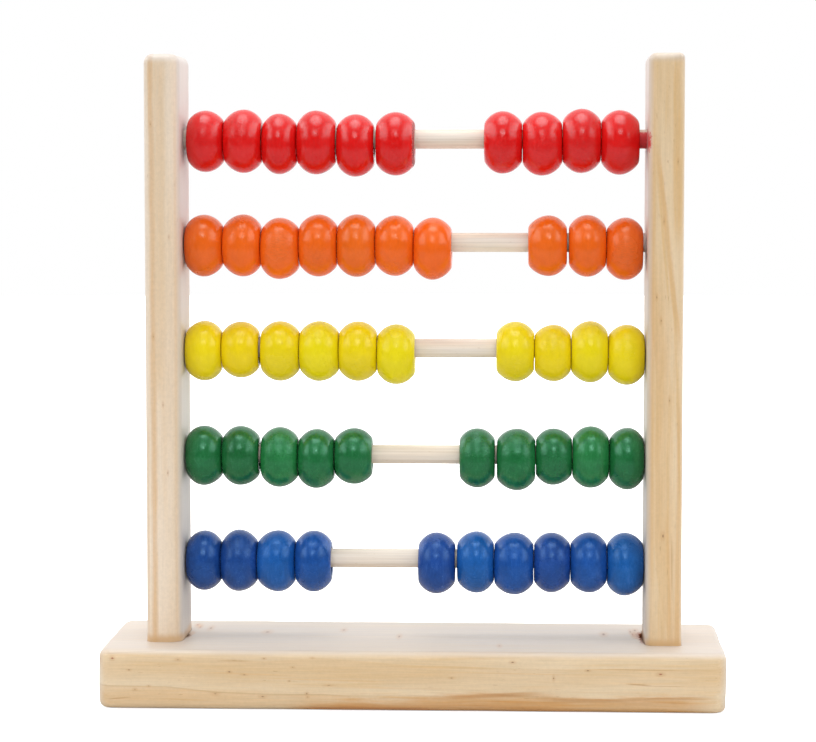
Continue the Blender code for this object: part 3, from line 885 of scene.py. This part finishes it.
base_wood = pine(
    "pine_base", along="x", pith=(8.0, -46.0), spacing=8.5, pale=(0.785, 0.632, 0.432),
    tan=(0.735, 0.553, 0.338), seed=3, ring_strength=0.55, slope=0.010,
    low_bands=(
        (((-105, 7.7), (-78, 7.3), (-62, 5.8), (-45, 5.1), (-28, 5.3), (0, 3.6)),
         0.14, -130, -22, (0.70, 0.47, 0.25), 0.62, 0.34),
        (((-42, 0.6), (-22, 3.4), (0, 4.2), (20, 5.8), (44, 4.9), (56, 3.8), (80, 5.3),
          (100, 4.2)), 2.0, -36, 92, (0.60, 0.300, 0.085), 1.0, 0.0),
        (((-40, 0.8), (-22, 2.2), (12, 2.4), (34, 2.6), (60, 1.0)),
         0.8, -34, 50, (0.58, 0.285, 0.095), 0.80, 0.0),
    ),
    streaks=(
        (10, 4.5, 40, 5.9, 0.80, (0.54, 0.275, 0.095), 0.80),
        (26, 5.5, 52, 4.2, 0.55, UMBER, 0.40),
        (44, 3.7, 68, 4.0, 0.70, (0.52, 0.265, 0.090), 0.78),
        (64, 4.3, 92, 5.1, 0.60, (0.55, 0.29, 0.105), 0.65),
        (60, 14.0, 86, 13.7, 0.17, (0.52, 0.28, 0.11), 0.62),
        (69, 9.3, 75, 9.0, 0.30, UMBER, 0.66), (74, 8.8, 86, 8.7, 0.14, UMBER, 0.45),
        (77, 4.8, 93, 4.7, 0.15, UMBER, 0.50), (-96, 3.2, -90, 3.7, 0.24, UMBER, 0.60),
        (-78, 3.3, -66, 3.0, 0.30, ORANGE_TAN, 0.60), (-60, 15.8, -52, 15.7, 0.30, UMBER, 0.42),
        (-34, 0.8, 6, 0.8, 0.50, (0.48, 0.185, 0.055), 0.70),
        (-64, 12.0, -40, 11.2, 0.34, ORANGE_TAN, 0.42),
        (-44, 10.2, -8, 9.4, 0.22, ORANGE_TAN, 0.45), (-4, 14.4, 30, 14.0, 0.50, HONEY, 0.32),
        (16, 12.6, 50, 12.1, 0.22, ORANGE_TAN, 0.40), (-20, 7.6, 12, 7.2, 0.50, HONEY, 0.30),
        (-99, 17.6, -78, 18.7, 0.16, (0.52, 0.33, 0.17), 0.55),
    ),
    depth_streaks=(
        (-80, 12, 70, 14, 1.6, (0.56, 0.51, 0.50), 0.45),
        (-60, 2, 90, 4, 1.2, (0.60, 0.53, 0.50), 0.40),
        (10, -12, 96, -9, 1.0, (0.62, 0.52, 0.44), 0.40),
        (-96, -8, -10, -10, 1.3, (0.62, 0.54, 0.48), 0.30),
    ),
    specks=(
        (-95.1, -30, 16.3, 0.50, 0.46, BRICK, 1.0), (-99.6, -28, 15.6, 0.55, 0.8, BROWN, 0.7),
        (-89.8, -30, 12.5, 0.50, 0.24, BROWN, 0.55), (-87.9, -30, 6.3, 0.55, 0.30, BROWN, 0.7),
        (-83.5, -30, 7.4, 0.5, 0.26, BROWN, 0.5), (-74.1, -30, 16.0, 0.70, 0.34, BROWN, 0.5),
        (-62.2, -30, 5.1, 1.0, 0.42, BROWN, 0.45), (-57.7, -30, 12.2, 0.6, 0.30, BROWN, 0.6),
        (-52.9, -30, 11.3, 0.8, 0.24, BROWN, 0.4), (-47.1, -30, 4.3, 0.9, 0.34, BROWN, 0.55),
        (-46.6, -30, 16.6, 0.55, 0.26, BROWN, 0.5), (-38.6, -30, 9.4, 0.4, 0.24, BROWN, 0.45),
        (-37.5, -30, 13.8, 0.6, 0.24, BROWN, 0.35), (-33.0, -30, 5.4, 0.42, 0.34, BROWN, 0.8),
        (-32.7, -30, 4.3, 0.42, 0.30, BROWN, 0.6), (-31.2, -29.5, 16.9, 0.6, 0.26, BROWN, 0.4),
        (-26.0, -30, 8.1, 1.1, 0.20, BROWN, 0.35), (13.0, -30, 10.8, 0.7, 0.24, BROWN, 0.25),
        (32.3, -30, 16.0, 0.65, 0.34, BROWN, 0.75), (45.3, -30, 11.0, 0.30, 0.70, BROWN, 0.45),
        (56.1, -30, 13.5, 0.6, 0.26, BROWN, 0.4), (79.0, -30, 12.5, 0.80, 0.40, BRICK, 1.0),
        (62.0, 6, 19, 0.80, 1.0, BROWN, 0.85), (-68.6, 13, 19, 0.70, 1.1, BROWN, 0.5),
        (-49.0, 6, 19, 1.2, 0.9, BROWN, 0.45), (-24.0, 11, 19, 0.8, 0.9, BROWN, 0.3),
        (-5.0, -1, 19, 0.6, 1.1, BROWN, 0.4), (28.0, -17, 19, 0.6, 0.8, BROWN, 0.3),
        (-73.0, 17.6, 19, 0.6, 0.8, ORANGE_TAN, 0.9), (-72.4, 14.8, 19, 0.5, 0.7, BRICK, 0.7),
        (-73.9, 19.5, 19, 0.5, 0.7, BRICK, 0.6), (71.6, 6, 19, 0.5, 1.2, RUST, 0.8),
        (71.0, 12, 19, 0.4, 1.0, BROWN, 0.7), (72.6, 14.5, 19, 0.6, 0.8, BROWN, 0.8),
    ),
    stains=(
        ((73.2, 4.0, 18.4), (2.7, 11.0, 2.0), (0.58, 0.30, 0.14), 0.75),
        ((74.4, -6.0, 17.8), (1.6, 8.0, 2.4), RUST, 0.95),
        ((73.8, 4.5, 17.8), (1.9, 10.5, 2.4), (0.36, 0.11, 0.04), 0.92),
        ((-74.0, -2.5, 18.2), (1.0, 4.0, 2.2), (0.34, 0.15, 0.06), 0.9),
        ((-73.6, 2.5, 18.9), (1.5, 5.0, 1.2), (0.62, 0.38, 0.20), 0.5),
    ),
    # Painted sheen and shade: the top and both ends greyed and dimmed.
    sheen_and_shade=(("across", 1, 17.9, 1.2, (0.575, 0.520, 0.485), 0.90),
          ("run", 1, 98.6, 1.2, GREY_PINK, 0.45), ("run", -1, -98.6, 1.2, GREY_PINK, 0.45)),
)
left_wood = pine(
    "pine_left", along="z", pith=(40.0, -112.0), spacing=9.0, pale=(0.845, 0.715, 0.575),
    tan=(0.800, 0.650, 0.490), seed=5, ring_strength=0.26, gild=0.30, comb=0.60,
    streaks=(
        (12, -83.2, 215, -83.8, 1.10, ORANGE_TAN, 0.70),
        (100, -81.9, 208, -80.9, 2.3, (0.74, 0.53, 0.31), 0.66),
        (60, -79.8, 190, -80.2, 0.9, (0.77, 0.58, 0.38), 0.40),
        (20, -76.5, 190, -76.3, 0.5, (0.74, 0.54, 0.33), 0.42),
        (20, -85.6, 90, -85.4, 0.5, ORANGE_TAN, 0.45),
    ),
    specks=(
        (150, -15, -78.2, 0.6, 0.22, BROWN, 0.35), (96, -15, -80.4, 0.7, 0.20, BROWN, 0.35),
        (118, -15, -83.4, 0.8, 0.28, BROWN, 0.45), (186, -15, -83.9, 0.6, 0.24, BROWN, 0.35),
        (74, -15, -79.0, 0.6, 0.22, BROWN, 0.35),
    ),
    # Painted sheen and shade: the inner and outer faces and the top greyed and dimmed.
    sheen_and_shade=(("across", 1, -75.7, 0.7, (0.63, 0.588, 0.562), 0.85),
          ("across", -1, -85.6, 0.7, (0.70, 0.62, 0.56), 0.5),
          ("run", 1, 206.4, 1.3, (0.66, 0.61, 0.58), 0.75)),
    # Painted shade with warm bounce light at the foot.
    foot_bounce_shade=(20.8, (0.66, 0.42, 0.205), 0.80),
)
right_wood = pine(
    "pine_right", along="z", pith=(-58.0, 99.0), spacing=7.0, pale=(0.80, 0.630, 0.420),
    tan=(0.740, 0.535, 0.305), seed=8, ring_strength=0.62, slope=-0.045, gild=0.55, comb=0.8,
    streaks=(
        (118, 84.6, 176, 78.0, 1.00, (0.68, 0.405, 0.155), 0.74),
        (130, 81.6, 168, 78.0, 0.55, HONEY, 0.6), (60, 86.0, 134, 83.2, 0.60, HONEY, 0.50),
        (150, 84.4, 206, 83.6, 1.7, HONEY, 0.80),
        (186, 80.8, 214, 81.2, 1.3, (0.72, 0.49, 0.24), 0.60),
        (40, 76.4, 186, 76.2, 1.0, ORANGE_TAN, 0.55),
        (26, 82.6, 60, 81.6, 0.55, ORANGE_TAN, 0.65),
        (20, 84.8, 96, 85.3, 0.8, ORANGE_TAN, 0.60), (38, 83.2, 52, 83.0, 0.30, UMBER, 0.45),
    ),
    specks=(
        (54.5, -15, 80.2, 0.9, 0.45, BROWN, 0.6), (155, -15, 79.9, 0.9, 0.26, BROWN, 0.5),
        (174, -15, 84.2, 0.8, 0.22, BROWN, 0.35), (123.5, -15, 79.2, 0.8, 0.30, BROWN, 0.45),
        (131, -15, 77.8, 0.8, 0.26, BROWN, 0.35), (98, -15, 82.0, 0.9, 0.24, BROWN, 0.35),
    ),
    stains=(((74.8, -8.0, 180.6), (2.2, 9.5, 4.8), (0.58, 0.022, 0.028), 0.95),),
    # Painted sheen and shade: the inner and outer faces and the top greyed and dimmed.
    sheen_and_shade=(("across", -1, 75.9, 0.9, (0.62, 0.58, 0.555), 0.85),
          ("across", 1, 85.9, 0.5, (0.72, 0.62, 0.53), 0.5),
          ("run", 1, 206.4, 1.5, (0.66, 0.60, 0.56), 0.75)),
    # Painted shade with warm bounce light at the foot.
    foot_bounce_shade=(20.4, (0.66, 0.415, 0.19), 0.74),
)

# ------------------------------------------------------------------- the object

left_post = ("left_post", "left_upright", 21, 2.8 * MM)
right_post = ("right_post", "right_upright", 22, 2.6 * MM)
keep(make_base(), base_wood, "frame", "base")
keep(make_post(*left_post), left_wood, "frame", "left_post")
keep(make_post(*right_post), right_wood, "frame", "right_post")

for index, colour in enumerate(COLOURS):
    material = birch(colour + "_birch", 3 + 2 * index, DOWEL_SMEARS_AND_LIGHT.get(colour))
    keep(make_rod(colour, seed=40 + index), material, "frame", colour + "_rod")

# Paint: colour, roughness, shine and its tint, mottle, pores, and what a chip shows.
PAINTS = {
    "red": ((0.740, 0.0070, 0.0060), 0.14, 0.62, (0.40, 0.94, 0.97), 0.035, 0.12,
            (0.86, 0.16, 0.13)),
    "orange": ((0.875, 0.134, 0.0070), 0.18, 0.58, (1.0, 0.98, 0.80), 0.035, 0.16,
               (0.82, 0.40, 0.18)),
    "yellow": ((0.850, 0.685, 0.0045), 0.19, 0.52, (1.0, 0.99, 0.75), 0.030, 0.10,
               (0.86, 0.78, 0.42)),
    "green": ((0.0120, 0.142, 0.038), 0.20, 0.90, (0.46, 1.0, 0.78), 0.14, 0.36,
              (0.20, 0.42, 0.26)),
    "blue": ((0.0105, 0.075, 0.330), 0.22, 0.80, (0.34, 0.62, 1.0), 0.15, 0.36,
             (0.16, 0.32, 0.62)),
}
# How each bead's dye took, from bead 01, and what each letter multiplies the colour by.
ROW_TONES = {
    "red": "pppppppppp", "orange": "ppppppppps", "yellow": "pwppwpppwp",
    "green": "pdlppppplp", "blue": "vvcpvcpvpc",
}
TONES = {
    "p": (1.0, 1.0, 1.0),  # plain
    "d": (0.90, 0.84, 0.80),  # dark
    "l": (1.35, 1.28, 1.22),  # light
    "v": (1.12, 0.78, 0.84),  # violet
    "c": (0.95, 1.32, 1.16),  # towards cyan
    "s": (1.0, 0.95, 0.95),  # slightly redder
    "w": (1.0, 0.98, 0.96),  # slightly warmer
}
# Beads whose left or right seam stands a little open, and how far faces swell.
OPEN_LEFT = ("red_bead_06", "orange_bead_09", "green_bead_03", "green_bead_07", "blue_bead_06",
             "yellow_bead_03")
OPEN_RIGHT = ("red_bead_05", "orange_bead_08", "green_bead_02", "green_bead_06", "blue_bead_05",
              "red_bead_04", "yellow_bead_02")
OPEN_SWELL, CLOSED_SWELL = -0.17 * MM, 0.09 * MM
# Hole radius and extra drop.
BORE = (4.2 * MM, 0.0)
ODD_BORES = {"blue_bead_04": (4.5 * MM, 0.35 * MM), "green_bead_05": (3.9 * MM, -0.25 * MM)}
CHIPS = {"red_bead_06": 0.95}
# The end grain of two orange beads faces the front.
GRAIN_TURNS = {"orange_bead_03": math.pi - 0.10, "orange_bead_10": math.pi + 0.05}

rng = random.Random(1207)
for colour in COLOURS:
    rgb, *finish = PAINTS[colour]
    material = paint(colour + "_paint", *finish)
    for number, letter in enumerate(ROW_TONES[colour], 1):
        node = f"{colour}_bead_{number:02d}"
        tint = [c * f * (1 + rng.uniform(-0.035, 0.035)) for c, f in zip(rgb, TONES[letter])]
        swell = [OPEN_SWELL if node in seams else CLOSED_SWELL
                 for seams in (OPEN_LEFT, OPEN_RIGHT)]
        bead = make_bead(node + "_turned", node, tint, rng, chips=CHIPS.get(node, 0.0),
                         grain_turn=GRAIN_TURNS.get(node), swell=swell,
                         bore=ODD_BORES.get(node, BORE))
        keep(bead, material, node, node)


# ------------------------------------------------------------------- the studio


def make_floor():
    bm = bmesh.new()
    bmesh.ops.create_circle(bm, cap_ends=True, segments=96, radius=3.2)
    floor = object_from_bmesh("studio_floor", bm)
    floor.location = (0, 0, -0.0002)
    material, t, shader = new_material("studio_white")
    speckle = t.noise(t.place(), stretch=(6, 6, 6))
    rays = t.node("ShaderNodeLightPath").outputs
    camera_ray, glossy_ray = rays["Is Camera Ray"], rays["Is Glossy Ray"]
    pale = t.mix(speckle, (0.90, 0.90, 0.90), (0.92, 0.92, 0.92))
    # Painted shade: to all rays but the camera's the table is darker towards the camera's end,
    # darker still in reflections, and lights the object less than it shows.
    y = t.split(t.place())[1]
    bounce = t.mul(t.remap(y, to=(0.04, 0.68), span=(-0.75, -0.30)),
                   t.remap(glossy_ray, to=(1.0, 0.5), span=(0, 1)))
    t.link(t.mix(camera_ray, t.grey(bounce), pale), shader.inputs["Base Color"])
    shader.inputs["Roughness"].default_value = 0.85
    shader.inputs["Specular IOR Level"].default_value = 0.1
    # The table glows, painted light: evenly for the camera, so only a trace of the object's
    # shadow shows, and further back for reflections.
    shader.inputs["Emission Color"].default_value = (1.0, 1.0, 1.0, 1.0)
    far = t.mul(t.mul(t.step(y, zero=0.20, one=0.80), 0.75), glossy_ray)
    t.link(t.add(t.mul(camera_ray, 0.72), far), shader.inputs["Emission Strength"])
    floor.data.materials.append(material)


def make_world():
    """A pale tent: brightest overhead, bright behind and at the sides, a window in front."""
    world = bpy.data.worlds.new("studio")
    bpy.context.scene.world = world
    world.use_nodes = True
    t = Tree(world.node_tree)
    background = world.node_tree.nodes["Background"]
    x, y, z = t.split(t.node("ShaderNodeTexCoord").outputs["Generated"])
    top = t.weigh((t.step(z, zero=0.46, one=0.78), 0.42), (t.step(z, zero=0.885, one=0.985), 3.4))
    off = t.math("ABSOLUTE", x)
    window = t.mul(
        t.mul(t.step(z, zero=0.42, one=0.54), t.step(z, zero=0.80, one=0.70)),
        t.mul(t.step(off, zero=0.27, one=0.13), t.step(y, zero=-0.1, one=-0.3)))
    top = t.add(top, t.mul(window, 2.6))
    # The back is dimmer in reflections, more so higher up.
    shiny = t.node("ShaderNodeLightPath").outputs["Is Glossy Ray"]
    fade = t.inverse(t.mul(shiny, t.mul(t.step(z, zero=0.15, one=0.80), 0.50)))
    back = t.mul(t.mul(t.step(y, zero=-0.05, one=0.65), 1.10), fade)
    wide = t.step(t.math("ABSOLUTE", x), zero=0.54, one=0.76)
    sides = t.weigh((t.mul(wide, t.step(z, zero=0.14, one=0.44)), 2.2), (wide, 0.10))
    level = t.add(t.add(0.07, top), t.math("MAXIMUM", back, sides))
    # The camera itself sees plain white.
    seen = t.node("ShaderNodeLightPath").outputs["Is Camera Ray"]
    level = t.add(t.mul(level, t.inverse(seen)), seen)
    t.link(level, background.inputs["Strength"])
    background.inputs["Color"].default_value = (1.0, 1.0, 1.0, 1.0)


def area(name, place, size, power, in_reflections=True):
    """A rectangular lamp aimed at the frame."""
    light = bpy.data.lights.new(name, "AREA")
    light.shape = "RECTANGLE"
    light.size, light.size_y = size
    light.energy = power
    lamp = link_object(name, light)
    lamp.location = place
    aim = Vector((0, 0, 0.1)) - Vector(place)
    lamp.rotation_euler = aim.to_track_quat("-Z", "Y").to_euler()
    lamp.visible_glossy = in_reflections


def make_camera():
    lens = bpy.data.cameras.new("camera")
    lens.sensor_width = 36.0
    lens.lens = 117.52
    lens.clip_start, lens.clip_end = 0.01, 50
    camera = link_object("camera", lens)
    camera.location = (0.0369, -0.8649, 0.1664)
    yaw, pitch = 0.04513, 0.06944
    camera.rotation_euler = (math.pi / 2 - pitch, 0.0, yaw)
    bpy.context.scene.camera = camera


make_floor()
make_world()
area("front_fill", place=(0.0, -1.1, 0.95), size=(1.6, 0.9), power=1.6, in_reflections=False)
area("low_fill", place=(0.0, -1.2, 0.16), size=(1.8, 0.3), power=2.6, in_reflections=False)
area("small_lamp", place=(0.135, -0.96, 0.80), size=(0.18, 0.15), power=0.50)
make_camera()
bpy.context.scene.view_settings.view_transform = "Standard"
